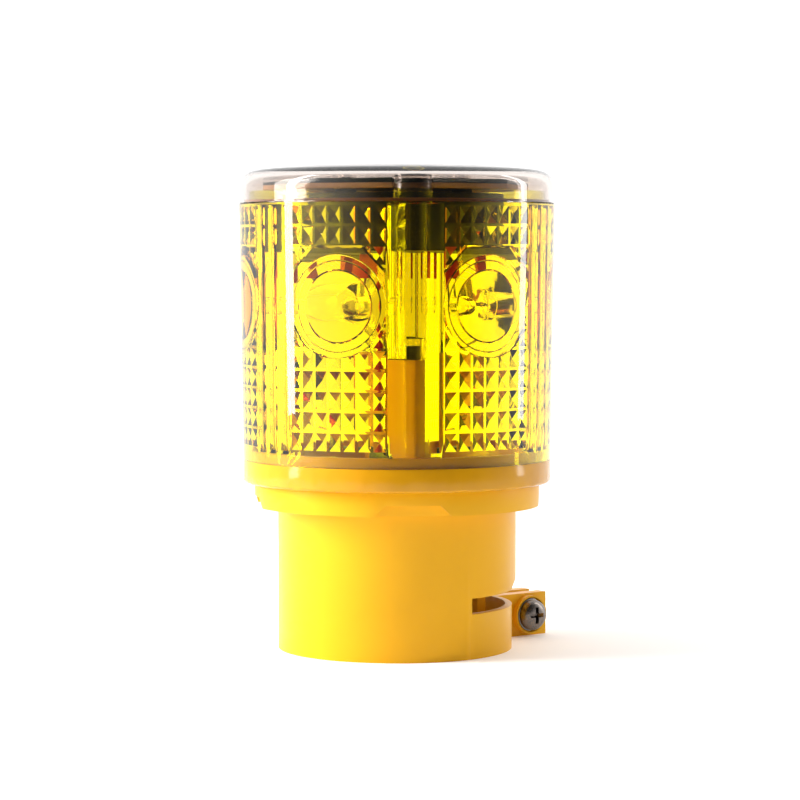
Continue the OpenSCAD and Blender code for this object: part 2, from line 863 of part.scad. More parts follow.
module switch_plate() {
    half = plate_side / 2;
    color("gold") difference() {
        union() {
            intersection_for(a = [0, 90]) rotate(a) {
                translate([0, half + cut, 0]) rotate([90, 0, 0]) linear_extrude(plate_side + 2 * cut) {
                    polygon([
                        [-half + plate_slant, z_plate],
                        [half - plate_slant, z_plate],
                        [half, z_plate_top],
                        [-half, z_plate_top]
                    ]);
                }
            }
            translate([0, 0, z_guard]) cylinder(r = guard_r, h = guard_h + cut);
        }
        translate([0, 0, z_guard - cut]) cylinder(r = guard_bore_r, h = plate_t + guard_h + 2 * cut);
    }
}

module switch_seal() {
    color("dimgray") translate([0, 0, z_plate_top]) difference() {
        plate(plate_side - 0.4, seal_plate_t);
        translate([0, 0, -cut]) plate(body_side + 2 * gap, seal_plate_t + 2 * cut);
    }
}

module switch_body() {
    color("black") difference() {
        union() {
            translate([0, 0, z_plate_top]) plate(body_side, body_top - z_plate_top);
            translate([0, 0, z_floor]) plate(body_flange_side, body_flange_t);
        }
        translate([0, 0, z_plate_top - cut]) {
            cylinder(r = stem_r + fit, h = stem_top + button_travel + 1 - z_plate_top + cut);
        }
    }
}

module switch_pins() {
    color("silver") rotate(boss_angle + 180) for (s = [-1, 1]) {
        translate([pin_at - 0.3, s * wire_route[0][1] - 0.6, body_top]) cube([0.6, 1.2, pin_h]);
    }
}

module switch_button() {
    color("gold") {
        difference() {
            translate([0, 0, z_button]) cylinder(r = button_r, h = button_proud + 0.8);
            translate([0, 0, z_spring]) ring(button_r - button_wall, stem_r, button_proud + 2);
        }
        translate([0, 0, z_spring - 0.1]) cylinder(r = stem_r, h = stem_top - z_spring + 0.1);
    }
}

module switch_spring() {
    height = z_plate_top - z_spring - 2 * spring_wire_r;
    steps = 16;
    path = [
        for (k = [0:spring_turns * steps])
            let(a = 360 * k / steps, z = z_spring + spring_wire_r + height * k / (spring_turns * steps))
            [spring_r * cos(a), spring_r * sin(a), z]
    ];
    color("silver") swept_tube(path, spring_wire_r, 8);
}

socket();
base_ring();
base_seal();
lens();
cap_seal();
top_cap();
solar_carrier();
solar_board();
solar_cells();
cell_ribbons();
electronics_tray();
tray_screws();
circuit_board();
driver_chip();
inductor();
capacitor();
resistors();
transistor();
battery_cell();
battery_clips();
leds();
led_leads();
led_sleeves();
wire_red();
wire_black();
case_screws();
socket_screws();
switch_plate();
switch_seal();
switch_body();
switch_pins();
switch_button();
switch_spring();
clamp_screw();
clamp_washer();
clamp_nut();
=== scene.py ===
"""Looks of a solar barricade warning light, built on its CAD frame.

Every length is in metres. The light stands on the floor with its axis on Z and the ears of
its clamp along +X.
"""

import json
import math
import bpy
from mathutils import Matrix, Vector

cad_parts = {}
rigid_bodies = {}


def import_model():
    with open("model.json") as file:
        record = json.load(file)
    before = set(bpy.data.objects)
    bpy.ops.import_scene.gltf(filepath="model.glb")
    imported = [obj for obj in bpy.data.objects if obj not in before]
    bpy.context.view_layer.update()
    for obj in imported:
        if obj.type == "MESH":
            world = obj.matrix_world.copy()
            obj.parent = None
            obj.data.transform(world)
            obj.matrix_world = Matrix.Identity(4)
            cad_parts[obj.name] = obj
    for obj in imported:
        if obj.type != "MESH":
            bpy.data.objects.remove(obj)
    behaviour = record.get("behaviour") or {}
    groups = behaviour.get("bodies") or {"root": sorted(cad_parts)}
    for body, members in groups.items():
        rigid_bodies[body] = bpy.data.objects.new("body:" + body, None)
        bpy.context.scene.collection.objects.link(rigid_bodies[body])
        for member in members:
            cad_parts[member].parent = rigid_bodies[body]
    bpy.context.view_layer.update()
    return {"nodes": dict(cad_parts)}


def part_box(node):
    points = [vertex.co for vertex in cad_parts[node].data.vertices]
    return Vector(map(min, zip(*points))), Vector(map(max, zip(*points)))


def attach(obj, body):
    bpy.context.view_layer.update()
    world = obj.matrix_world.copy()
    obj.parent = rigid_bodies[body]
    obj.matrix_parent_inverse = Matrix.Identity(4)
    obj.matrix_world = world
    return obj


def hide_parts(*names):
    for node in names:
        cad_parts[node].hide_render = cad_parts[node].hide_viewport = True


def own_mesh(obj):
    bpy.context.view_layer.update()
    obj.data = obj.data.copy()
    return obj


bl_info = {
    "name": "Barricade warning light",
    "version": (1, 0, 0),
    "blender": (4, 5, 0),
    "location": "View3D > Sidebar > Warning Light",
    "description": "Builds the lens, cap, socket and inner parts of a solar warning light",
    "category": "Add Mesh",
}

import bmesh
import bpy
from mathutils import Matrix, Vector

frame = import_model()

MM = 0.001
# Points nearer than this are one point
SAME = 0.002 * MM
FULL_TURN = 2 * math.pi
Z_TO_Y = Matrix.Rotation(math.radians(-90), 4, "X")
# Faces that differ by less are one face, and edges that bend by more are rounded
FLAT = math.radians(0.3)
SHARP = math.radians(35)
# Steps round a piece as wide as the light
ROUND = 144
PANELS = 6
# Flutes between a panel and the edge of its sixth of the lens
FLUTES_BESIDE = 1.5
# Rows of pyramids up to the top of an eye's frame
FRAME_ROWS = 10
# Points along the curves of the cap's outline
DOME_STEPS = 12
EDGE_STEPS = 10
# The bosses, pillars and wires lie in this upright plane
BOSS_ANGLE = math.radians(240)
LENS_LOW, LENS_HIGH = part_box("lens")
CAP_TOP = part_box("top_cap")[1][2]
BOSS_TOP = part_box("base_ring")[1][2]
CELLS_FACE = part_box("solar_cells")[0][2]
SCREW_LOW, SCREW_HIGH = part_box("clamp_screw")
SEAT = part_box("clamp_washer")[0][1]
LEDS_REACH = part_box("leds")[1][1]


# ---- Small helpers ----


def srgb(text):
    """Linear colour from an sRGB hex text such as F8B21C."""
    parts = [int(text[k : k + 2], 16) / 255 for k in (0, 2, 4)]
    return tuple(c / 12.92 if c <= 0.04045 else ((c + 0.055) / 1.055) ** 2.4 for c in parts)


def deselect_all():
    bpy.ops.object.select_all(action="DESELECT")


def make_active(piece):
    """Selects one object and nothing else."""
    deselect_all()
    piece.select_set(True)
    bpy.context.view_layer.objects.active = piece


def remove(piece):
    make_active(piece)
    bpy.ops.object.delete()


def duplicate(piece):
    """A selected copy of a piece, with a mesh of its own."""
    make_active(piece)
    bpy.ops.object.duplicate(linked=False)
    return bpy.context.object


def open_mesh(piece):
    make_active(piece)
    bpy.ops.object.mode_set(mode="EDIT")


def close_mesh():
    bpy.ops.object.mode_set(mode="OBJECT")


def start_point(name, at):
    """A new mesh of one selected vertex, left in edit mode."""
    deselect_all()
    bpy.ops.mesh.primitive_plane_add(size=MM)
    piece = bpy.context.object
    piece.name = name
    piece.data.name = name
    open_mesh(piece)
    bpy.ops.mesh.select_mode(type="VERT")
    bpy.ops.mesh.select_all(action="SELECT")
    bpy.ops.mesh.merge(type="CENTER")
    bpy.ops.transform.translate(value=at)
    return piece


def extrude_through(points):
    """Extrudes what is selected from each point to the next."""
    for a, b in zip(points, points[1:]):
        step = Vector(b) - Vector(a)
        bpy.ops.mesh.extrude_region_move(TRANSFORM_OT_translate={"value": step})


def merge_all():
    bpy.ops.mesh.select_all(action="SELECT")
    bpy.ops.mesh.remove_doubles(threshold=SAME)


def face_outwards():
    bpy.ops.mesh.select_all(action="SELECT")
    bpy.ops.mesh.normals_make_consistent(inside=False)


def pick(piece, kind, test):
    """Selects only the verts, edges or faces whose middle passes the test."""
    bpy.ops.mesh.select_mode(type={"verts": "VERT", "edges": "EDGE", "faces": "FACE"}[kind])
    bpy.ops.mesh.select_all(action="DESELECT")
    mesh = bmesh.from_edit_mesh(piece.data)
    count = 0
    for item in getattr(mesh, kind):
        corners = [item] if kind == "verts" else item.verts
        middle = sum((v.co for v in corners), Vector()) / len(corners)
        if test(middle, item):
            item.select_set(True)
            count += 1
    mesh.select_flush_mode()
    bmesh.update_edit_mesh(piece.data)
    if not count:
        raise RuntimeError(f"{piece.name}: nothing was selected")


def lathe(name, profile, steps, closed=False):
    """A turned piece about Z from (radius, height) points."""
    points = [Vector((r, 0, z)) for r, z in profile]
    if closed:
        points.append(points[0])
    piece = start_point(name, points[0])
    extrude_through(points)
    merge_all()
    bpy.ops.mesh.spin(steps=steps, angle=FULL_TURN, center=(0, 0, 0), axis=(0, 0, 1))
    merge_all()
    face_outwards()
    close_mesh()
    return piece


def prism(name, outline, rise):
    """A flat outline of points, filled and extruded by the vector rise."""
    points = [Vector(p) for p in outline]
    piece = start_point(name, points[0])
    extrude_through(points + [points[0]])
    merge_all()
    bpy.ops.mesh.edge_face_add()
    bpy.ops.mesh.extrude_region_move(TRANSFORM_OT_translate={"value": Vector(rise)})
    face_outwards()
    close_mesh()
    return piece


def place(piece, matrix):
    """Moves a piece by a matrix and writes the move into its mesh."""
    make_active(piece)
    piece.matrix_world = matrix @ piece.matrix_world
    bpy.ops.object.transform_apply(location=True, rotation=True, scale=True)


def radial(angle, radius=0.0, height=0.0):
    """Matrix that takes X to the outward direction at an angle about Z."""
    return Matrix.Rotation(angle, 4, "Z") @ Matrix.Translation((radius, 0, height))


def modify(piece, kind, **settings):
    """Adds a modifier with its settings and applies it."""
    make_active(piece)
    bpy.ops.object.modifier_add(type=kind)
    modifier = piece.modifiers[-1]
    for key, value in settings.items():
        setattr(modifier, key, value)
    bpy.ops.object.modifier_apply(modifier=modifier.name)


def combine(piece, other, operation):
    """Joins or cuts piece with other, which is used up."""
    modify(piece, "BOOLEAN", operation=operation, solver="EXACT", object=other)
    remove(other)
    make_active(piece)


def combine_copies(piece, other, matrices):
    """Joins a copy of other to piece at each matrix, and uses other up."""
    for matrix in matrices:
        copy = duplicate(other)
        place(copy, matrix)
        combine(piece, copy, "UNION")
    remove(other)


def copies(piece, matrices):
    """One object of copies of a piece, a copy for each matrix."""
    made = []
    for matrix in matrices:
        copy = duplicate(piece)
        place(copy, matrix)
        made.append(copy)
    remove(piece)
    deselect_all()
    for copy in made:
        copy.select_set(True)
    bpy.context.view_layer.objects.active = made[0]
    bpy.ops.object.join()
    return made[0]


def copy_node(node, name):
    """A merged copy of a CAD node, with whole flat faces."""
    piece = duplicate(frame["nodes"][node])
    bpy.ops.object.parent_clear(type="CLEAR_KEEP_TRANSFORM")
    piece.name = name
    piece.data.name = name
    open_mesh(piece)
    merge_all()
    bpy.ops.mesh.dissolve_limited(angle_limit=FLAT)
    close_mesh()
    return piece


def finish_piece(piece, name, body, finish, nodes, smooth=30):
    """Names, shades and colours a piece, and puts it on its body in place of its nodes."""
    make_active(piece)
    bpy.ops.object.shade_smooth_by_angle(angle=math.radians(smooth))
    piece.name = name
    piece.data.name = name
    piece.data.materials.clear()
    piece.data.materials.append(finish)
    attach(piece, body)
    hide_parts(*nodes)


def rounded_node(node, body, finish, bevel, segments=2):
    """Puts a copy with rounded edges in place of a CAD node."""
    piece = copy_node(node, node + "_part")
    if bevel:
        modify(
            piece,
            "BEVEL",
            width=bevel,
            segments=segments,
            limit_method="ANGLE",
            angle_limit=SHARP,
            use_clamp_overlap=True,
        )
    finish_piece(piece, node + "_part", body, finish, [node])
    return piece


# ---- Materials ----

# Colour inputs and the colour output of a mix node
MIX_A = 6
MIX_B = 7
MIX_RESULT = 2
# Finger lines of the cells, and a wave texture's bands in one unit at a scale of 1
FINGER_GAP = 1.6 * MM
BANDS_PER_UNIT = 3.18
METAL = {"Metallic": 1.0}


def add_node(tree, kind, settings=None, links=None):
    """Adds a node, sets its properties and input values, and links its inputs.

    Inputs that share a name with others of the node go by their number.
    """
    node = tree.nodes.new(kind)
    for key, value in (settings or {}).items():
        if isinstance(key, str) and hasattr(node, key):
            setattr(node, key, value)
        else:
            node.inputs[key].default_value = value
    for key, source in (links or {}).items():
        tree.links.new(source, node.inputs[key])
    return node


def start_material(name):
    """An empty node material with the object's own coordinates."""
    material = bpy.data.materials.new(name)
    material.use_nodes = True
    tree = material.node_tree
    tree.nodes.clear()
    coordinates = add_node(tree, "ShaderNodeTexCoord")
    return material, tree, coordinates.outputs["Object"]


def close_material(material, tree, shader, volume=None):
    """Links the shader and the volume to the material's output."""
    output = add_node(tree, "ShaderNodeOutputMaterial", links={"Surface": shader.outputs[0]})
    if volume:
        tree.links.new(volume.outputs[0], output.inputs["Volume"])
    return material


def finish_of(name):
    return bpy.data.materials[name]


def solid_material(name, colour, shade, patch_mm, grain_mm, bump_mm, rough, constants=None):
    """A solid surface: soft patches of two colours, a fine grain and uneven gloss.

    rough is the lowest and highest roughness, and constants are other shader values. The
    real grain is too fine to show, so grain_mm is drawn coarser than it.
    """
    material, tree, at = start_material(name)
    patches = add_node(
        tree,
        "ShaderNodeTexNoise",
        {"Scale": 1 / (patch_mm * MM), "Detail": 3.0, "Roughness": 0.6},
        {"Vector": at},
    )
    tint = add_node(
        tree,
        "ShaderNodeMix",
        {"data_type": "RGBA", MIX_A: (*colour, 1), MIX_B: (*shade, 1)},
        {"Factor": patches.outputs["Fac"]},
    )
    grain = add_node(
        tree,
        "ShaderNodeTexNoise",
        {"Scale": 1 / (grain_mm * MM), "Detail": 2.0},
        {"Vector": at},
    )
    gloss = add_node(
        tree,
        "ShaderNodeMapRange",
        {"To Min": rough[0], "To Max": rough[1]},
        {"Value": grain.outputs["Fac"]},
    )
    bump = add_node(
        tree,
        "ShaderNodeBump",
        {"Distance": bump_mm * MM, "Strength": 0.6},
        {"Height": grain.outputs["Fac"]},
    )
    shader = add_node(
        tree,
        "ShaderNodeBsdfPrincipled",
        constants or {},
        {
            "Base Color": tint.outputs[MIX_RESULT],
            "Roughness": gloss.outputs[0],
            "Normal": bump.outputs[0],
        },
    )
    return close_material(material, tree, shader)


def clear_material(name, tint, ior, rough, specular, passes, depth_mm):
    """A clear solid.

    tint colours each face, and passes is the share of red, green and blue light that gets
    through depth_mm of the solid.
    """
    material, tree, at = start_material(name)
    ripple = add_node(
        tree,
        "ShaderNodeTexNoise",
        {"Scale": 1 / (3 * MM), "Detail": 1.0},
        {"Vector": at},
    )
    bump = add_node(
        tree,
        "ShaderNodeBump",
        {"Distance": 0.004 * MM, "Strength": 1.0},
        {"Height": ripple.outputs["Fac"]},
    )
    gloss = add_node(
        tree,
        "ShaderNodeMapRange",
        {"To Min": rough, "To Max": rough + 0.03},
        {"Value": ripple.outputs["Fac"]},
    )
    shader = add_node(
        tree,
        "ShaderNodeBsdfPrincipled",
        {
            "Base Color": (*srgb(tint), 1),
            "IOR": ior,
            "Specular IOR Level": specular,
            "Transmission Weight": 1.0,
        },
        {"Normal": bump.outputs[0], "Roughness": gloss.outputs[0]},
    )
    loss = [-math.log(share) / (depth_mm * MM) for share in passes]
    most = max(loss)
    volume = add_node(
        tree,
        "ShaderNodeVolumeAbsorption",
        {"Color": (*[1 - part / most for part in loss], 1), "Density": most},
    )
    return close_material(material, tree, shader, volume)


def cell_material(name, colour, shade):
    """Thin-film solar cell: clouded brown under fine silver finger lines."""
    material, tree, at = start_material(name)
    turned = add_node(
        tree,
        "ShaderNodeMapping",
        {"Rotation": (0, 0, -(BOSS_ANGLE + math.radians(22.5)))},
        {"Vector": at},
    )
    fingers = add_node(
        tree,
        "ShaderNodeTexWave",
        {"wave_type": "BANDS", "bands_direction": "X", "Scale": 1 / FINGER_GAP / BANDS_PER_UNIT},
        {"Vector": turned.outputs[0]},
    )
    lines = add_node(
        tree,
        "ShaderNodeMapRange",
        {"From Min": 0.9, "From Max": 0.97},
        {"Value": fingers.outputs["Fac"]},
    )
    clouds = add_node(
        tree,
        "ShaderNodeTexNoise",
        {"Scale": 1 / (9 * MM), "Detail": 3.0},
        {"Vector": at},
    )
    film = add_node(
        tree,
        "ShaderNodeMix",
        {"data_type": "RGBA", MIX_A: (*colour, 1), MIX_B: (*shade, 1)},
        {"Factor": clouds.outputs["Fac"]},
    )
    tint = add_node(
        tree,
        "ShaderNodeMix",
        {"data_type": "RGBA", MIX_B: (*srgb("C9C4BC"), 1)},
        {"Factor": lines.outputs[0], MIX_A: film.outputs[MIX_RESULT]},
    )
    shader = add_node(
        tree,
        "ShaderNodeBsdfPrincipled",
        {"Roughness": 0.22, "Coat Weight": 0.5, "Coat Roughness": 0.05},
        {"Base Color": tint.outputs[MIX_RESULT]},
    )
    return close_material(material, tree, shader)


# ---- Sizes and colours that a user may change ----


def length(name, description, default):
    return bpy.props.FloatProperty(
        name=name, description=description, default=default, min=0, unit="LENGTH", precision=5
    )


def colour(name, description, default):
    return bpy.props.FloatVectorProperty(
        name=name,
        description=description,
        default=srgb(default),
        min=0,
        max=1,
        size=3,
        subtype="COLOR",
    )


class LensSizes(bpy.types.PropertyGroup):
    """Sizes of the amber lens."""

    inner_radius: length("Inner radius", "Radius of the lens's inside", 0.0442)
    wall: length("Wall", "Wall at the foot", 0.0021)
    draft: length("Draft", "How much wider the outside is at the top", 0.0012)
    flute_width: length("Flute width", "Width of one upright flute", 0.0053)
    flute_depth: length("Flute depth", "How far a flute stands in", 0.0007)
    grid_foot: length("Grid foot", "Plain margin under the pyramids", 0.0044)
    grid_head: length("Grid head", "Plain margin over the pyramids", 0.0006)
    columns: bpy.props.IntProperty(
        name="Columns", description="Pyramids across one panel", default=7, min=1
    )
    rows: bpy.props.IntProperty(
        name="Rows", description="Pyramids up one panel", default=12, min=1
    )
    border: length("Border", "Half of the plain line between pyramids", 0.0004)
    pyramid: length("Pyramid", "Height of a pyramid", 0.0013)
    lip: length("Lip", "Height of the lip inside the cap", 0.0036)
    eye_height: length("Eye height", "Height of an eye's middle above the floor", 0.1034)
    eye_radius: length("Eye radius", "Radius of the eye's bulging middle", 0.0102)


class CapSizes(bpy.types.PropertyGroup):
    """Sizes of the clear cap."""

    wall: length("Wall", "Wall of the cap", 0.0022)
    side: length("Side", "Height of the upright side", 0.0047)
    edge: length("Edge", "Radius of the rounded edge", 0.0055)
    pillar_radius: length("Pillar radius", "Radius of a pillar", 0.0054)
    pillar_at: length("Pillar place", "Distance of a pillar from the axis", 0.0378)
    stud_radius: length("Stud radius", "Radius of a stud over the panel", 0.003)
    stud_at: length("Stud place", "Distance of a stud from the axis", 0.024)


class ClampSizes(bpy.types.PropertyGroup):
    """Sizes of the clamp screw."""

    head_radius: length("Head radius", "Radius of the screw's head", 0.0048)
    head_height: length("Head height", "Height of the screw's head", 0.003)
    shank_radius: length("Shank radius", "Radius over the thread", 0.00245)
    thread_pitch: length("Thread pitch", "Distance between threads", 0.0008)
    thread_depth: length("Thread depth", "Depth of the thread", 0.0004)


class RoundedEdges(bpy.types.PropertyGroup):
    """Radii of the moulded edges."""

    moulded: length("Moulded edge", "Edge radius of the yellow mouldings", 0.00045)
    small: length("Small edge", "Edge radius of small parts", 0.0002)


class Colours(bpy.types.PropertyGroup):
    """Base colours."""

    yellow: colour("Yellow ABS", "Socket, switch plate and button", "E8AD18")
    yellow_shade: colour("Yellow ABS shade", "Slight unevenness of the yellow", "E1A514")
    # Darker yellow of the base ring: painted shade for the dim surroundings that its glossy face
    # reflects
    gloss: colour("Glossy yellow", "Base ring", "B4760A")
    carrier: colour("Tan", "Carrier of the solar panel", "EBB986")
    cell: colour("Cell", "Thin-film solar cells", "A86E48")
    board: colour("Board", "Solder mask", "16301F")
    red: colour("Red", "Sleeves and wire", "C8170C")


class StageSettings(bpy.types.PropertyGroup):
    """Camera and light."""

    distance: length("Camera distance", "Distance of the camera from the axis", 0.80497)
    direction: bpy.props.FloatProperty(
        name="Camera direction",
        description="Angle about the axis at which the camera stands",
        default=math.radians(233.2),
        subtype="ANGLE",
    )
    height: length("Camera height", "Height of the camera", 0.11694)
    pitch: bpy.props.FloatProperty(
        name="Camera pitch",
        description="How far the camera looks down",
        default=math.radians(3.017),
        subtype="ANGLE",
    )
    aside: length("Camera aside", "How far right of the axis the camera aims", 0.0009)
    lens: bpy.props.FloatProperty(
        name="Focal length", description="In millimetres on 36 mm", default=120.36
    )
    bright: bpy.props.FloatProperty(
        name="Bright side", description="Strength of the surroundings behind", default=1.5
    )
    dim: bpy.props.FloatProperty(
        name="Dim side", description="Strength above and behind the camera", default=0.05
    )
    key: bpy.props.FloatProperty(
        name="Key light", description="Power of the large light on the left", default=8.2, unit="POWER"
    )
    strip: bpy.props.FloatProperty(
        name="Strip light", description="Power of the tall strip on the left", default=1.1, unit="POWER"
    )
    fill: bpy.props.FloatProperty(
        name="Side light", description="Power of the strip on the right", default=0.75, unit="POWER"
    )


# ---- Operators ----


class LIGHT_OT_materials(bpy.types.Operator):
    """Makes the materials."""

    bl_idname = "warning_light.materials"
    bl_label = "Materials"

    def execute(self, context):
        tones = context.scene.light_colours
        # Injection-moulded ABS: saturated yellow, an even satin from a fine spark-eroded mould
        solid_material(
            "moulded_yellow_abs",
            tones.yellow,
            tones.yellow_shade,
            22,
            0.5,
            0.012,
            (0.3, 0.42),
            {"Specular IOR Level": 0.15},
        )
        # Polished ABS: the same yellow plastic from a polished mould, with clear reflections; its base
        # colour is painted darker than the socket's, as painted shade for the dim surroundings that the
        # glossy ring reflects
        solid_material(
            "polished_yellow_abs",
            tones.gloss,
            tones.yellow_shade,
            30,
            1.4,
            0.003,
            (0.1, 0.18),
            {"Specular IOR Level": 0.25, "Coat Weight": 0.06, "Coat Roughness": 0.12},
        )
        # Amber polycarbonate: next to no blue gets through 2 mm, and 8 mm takes a quarter of the green
        clear_material("amber_polycarbonate", "FFFFFF", 1.55, 0.0, 0.3, (0.995, 0.93, 0.02), 2.2)
        # Clear polycarbonate: a faint warm grey at each face and in thick places
        clear_material("clear_polycarbonate", "DCD3CD", 1.55, 0.0, 0.4, (0.975, 0.97, 0.965), 4.0)
        # Silicone rubber: dull, slightly dusty
        solid_material("silicone_seal", srgb("B8741C"), srgb("A86414"), 6, 0.4, 0.01, (0.6, 0.75))
        # Glass-filled nylon: tan with a mottled satin face
        solid_material("tan_nylon", tones.carrier, srgb("B08256"), 4, 0.5, 0.02, (0.45, 0.6))
        # Solder mask over glass laminate: dark green, glossy, with faint copper relief
        solid_material("solder_mask", tones.board, srgb("0E2216"), 3, 1.2, 0.03, (0.25, 0.4))
        # Silicon film under resin
        cell_material("silicon_cells", tones.cell, srgb("4A2515"))
        # Tinned copper: soft bright grey metal
        solid_material(
            "tinned_copper", srgb("D2D0CA"), srgb("B4B2AC"), 1.5, 0.3, 0.006, (0.2, 0.38), METAL
        )
        # Moulded black polypropylene
        solid_material("black_polypropylene", srgb("181513"), srgb("211C18"), 8, 0.5, 0.02, (0.38, 0.5))
        # Zinc-plated steel: bluish white metal with a fine cloud
        solid_material(
            "zinc_plated_steel", srgb("C4C8CC"), srgb("9DA3A9"), 1.8, 0.25, 0.006, (0.22, 0.4), METAL
        )
        # Nickel-plated steel, darkened: warm dark grey metal
        solid_material(
            "darkened_steel", srgb("8A817A"), srgb("6A625C"), 1.5, 0.3, 0.008, (0.2, 0.38), METAL
        )
        # Epoxy moulding compound: charcoal, matt
        solid_material("epoxy_compound", srgb("1B1B1E"), srgb("26262A"), 2, 0.3, 0.012, (0.5, 0.65))
        # Enamelled copper wire
        solid_material(
            "enamelled_copper", srgb("B5602B"), srgb("8C4219"), 1, 0.5, 0.05, (0.25, 0.4), METAL
        )
        # Shrink-wrapped PVC film on a cell
        solid_material("pvc_wrap", srgb("3E8F2D"), srgb("2F7A22"), 9, 2.5, 0.02, (0.2, 0.32))
        # Clear epoxy of an LED, faintly yellow
        clear_material("led_epoxy", "FFFFFF", 1.2, 0.05, 0.3, (0.99, 0.97, 0.8), 4.0)
        # PVC tube and insulation, red
        solid_material("red_pvc", tones.red, srgb("A8100A"), 5, 0.8, 0.01, (0.35, 0.5))
        # Drawn spring steel
        solid_material(
            "spring_wire", srgb("B9B6B0"), srgb("96938D"), 1, 0.2, 0.004, (0.2, 0.32), METAL
        )
        return {"FINISHED"}


class LIGHT_OT_lens(bpy.types.Operator):
    """Amber lens: pyramids, flutes and round eyes inside a smooth cone."""

    bl_idname = "warning_light.lens"
    bl_label = "Lens"

    def execute(self, context):
        sizes = context.scene.light_lens
        inner = sizes.inner_radius
        # One sixth of the lens is modelled flat: X round the wall, +Y to the inside, Z up
        half = math.pi / PANELS * inner
        flute = 2 * math.asin(sizes.flute_width / 2 / inner) * inner
        panel_half = half - FLUTES_BESIDE * flute
        piece = self.sheet(sizes, self.flute_depths(sizes, half, flute), panel_half)
        low, _, row = self.grid(sizes)
        combine(piece, self.surround(sizes, low + FRAME_ROWS * row), "UNION")
        combine(piece, self.eye(sizes), "UNION")
        self.bend_round(piece, half, inner)
        combine(piece, self.lip(sizes), "UNION")
        finish_piece(
            piece,
            "amber_lens",
            "housing",
            finish_of("amber_polycarbonate"),
            ["lens"],
            20,
        )
        return {"FINISHED"}

    def grid(self, sizes):
        """Foot and head of the field of pyramids, and the height of a row."""
        low = LENS_LOW[2] + sizes.grid_foot
        high = LENS_HIGH[2] - sizes.grid_head
        return low, high, (high - low) / sizes.rows

    def flute_depths(self, sizes, half, flute):
        """Places across the sector, in steps of SAME, with the depth of a flute at each."""
        sag = sizes.flute_depth
        bow = ((sizes.flute_width / 2) ** 2 + sag**2) / (2 * sag)
        depths = {}
        for centre in (-half, -half + flute, half - flute, half):
            for k in range(-4, 5):
                aside = k / 4 * sizes.flute_width / 2
                x = centre + k / 4 * flute / 2
                if abs(x) <= half + SAME:
                    depths[round(x / SAME)] = sag - bow + math.sqrt(bow**2 - aside**2)
        return depths

    def sheet(self, sizes, flutes, panel_half):
        """The flat wall with its flutes and pyramids."""
        low, high, row = self.grid(sizes)
        foot = LENS_LOW[2]
        head = LENS_HIGH[2]
        width = 2 * panel_half / sizes.columns
        columns = [-panel_half + width * k for k in range(1, sizes.columns)]
        places = sorted([key * SAME for key in flutes] + columns)
        # The flutes run out in a short slope under the pyramids
        levels = [foot, low - row / 6]
        levels += [low + row * k for k in range(sizes.rows + 1)]
        levels.append(head)

        piece = start_point("lens_sector", (places[0], 0, foot))
        extrude_through([(x, 0, foot) for x in places])
        bpy.ops.mesh.select_all(action="SELECT")
        extrude_through([(0, 0, z) for z in levels])
        bpy.ops.mesh.select_all(action="SELECT")
        extrude_through([(0, 0, 0), (0, -sizes.wall, 0)])
        face_outwards()
        for z in levels[1:]:
            pick(piece, "verts", lambda at, _: at.y < -SAME and abs(at.z - z) < SAME)
            rise = (z - foot) / (head - foot)
            bpy.ops.transform.translate(value=(0, -sizes.draft * rise, 0))
        for depth in sorted(set(round(d / SAME) for d in flutes.values()) - {0}):
            keys = [key for key, d in flutes.items() if round(d / SAME) == depth]
            pick(
                piece,
                "verts",
                lambda at, _: at.y > -SAME
                and low - SAME < at.z < high + SAME
                and any(abs(at.x - key * SAME) < SAME * 2 for key in keys),
            )
            bpy.ops.transform.translate(value=(0, depth * SAME, 0))
        pick(
            piece,
            "faces",
            lambda at, _: at.y > -SAME and abs(at.x) < panel_half and low < at.z < high,
        )
        bpy.ops.mesh.inset(thickness=sizes.border, use_individual=True)
        bpy.ops.mesh.poke()
        middles_x = [-panel_half + width * (k + 0.5) for k in range(sizes.columns)]
        middles_z = [low + row * (k + 0.5) for k in range(sizes.rows)]
        pick(
            piece,
            "verts",
            lambda at, _: at.y > -SAME
            and any(abs(at.x - x) < SAME * 5 for x in middles_x)
            and any(abs(at.z - z) < SAME * 5 for z in middles_z),
        )
        bpy.ops.transform.translate(value=(0, sizes.pyramid, 0))
        close_mesh()
        return piece

    def bend_round(self, piece, half, inner):
        """Opens the sector's two cut sides, bends it round the axis and repeats it."""
        open_mesh(piece)
        pick(piece, "faces", lambda at, face: abs(face.normal.x) > 0.99 and abs(at.x) > half - SAME)
        bpy.ops.mesh.delete(type="FACE")
        close_mesh()
        modify(
            piece,
            "SIMPLE_DEFORM",
            deform_method="BEND",
            deform_axis="Z",
            angle=FULL_TURN / PANELS,
        )
        place(piece, Matrix.Translation((0, -inner, 0)))
        open_mesh(piece)
        bpy.ops.mesh.select_all(action="SELECT")
        bpy.ops.mesh.spin(
            steps=PANELS - 1,
            angle=FULL_TURN * (PANELS - 1) / PANELS,
            dupli=True,
            center=(0, 0, 0),
            axis=(0, 0, 1),
        )
        bpy.ops.mesh.select_all(action="SELECT")
        bpy.ops.mesh.remove_doubles(threshold=SAME * 4)
        face_outwards()
        close_mesh()

    def lip(self, sizes):
        """The ring that stands up inside the cap."""
        inside = sizes.inner_radius - 1.2 * MM
        outside = sizes.inner_radius + 0.3 * MM
        root = LENS_HIGH[2] - 0.5 * MM
        top = LENS_HIGH[2] + sizes.lip
        profile = [(inside, root), (outside, root), (outside, top), (inside, top)]
        return lathe("lens_lip", profile, ROUND, closed=True)

    def surround(self, sizes, top):
        """The plain field round an eye, with its raised frame."""
        reach = sizes.eye_radius + 4.95 * MM
        centre = sizes.eye_height
        shoulder = centre + 10 * MM
        top_half = 8 * MM
        back = -0.6 * MM
        outline = [
            (-reach, back, shoulder),
            (-top_half, back, top),
            (top_half, back, top),
            (reach, back, shoulder),
        ]
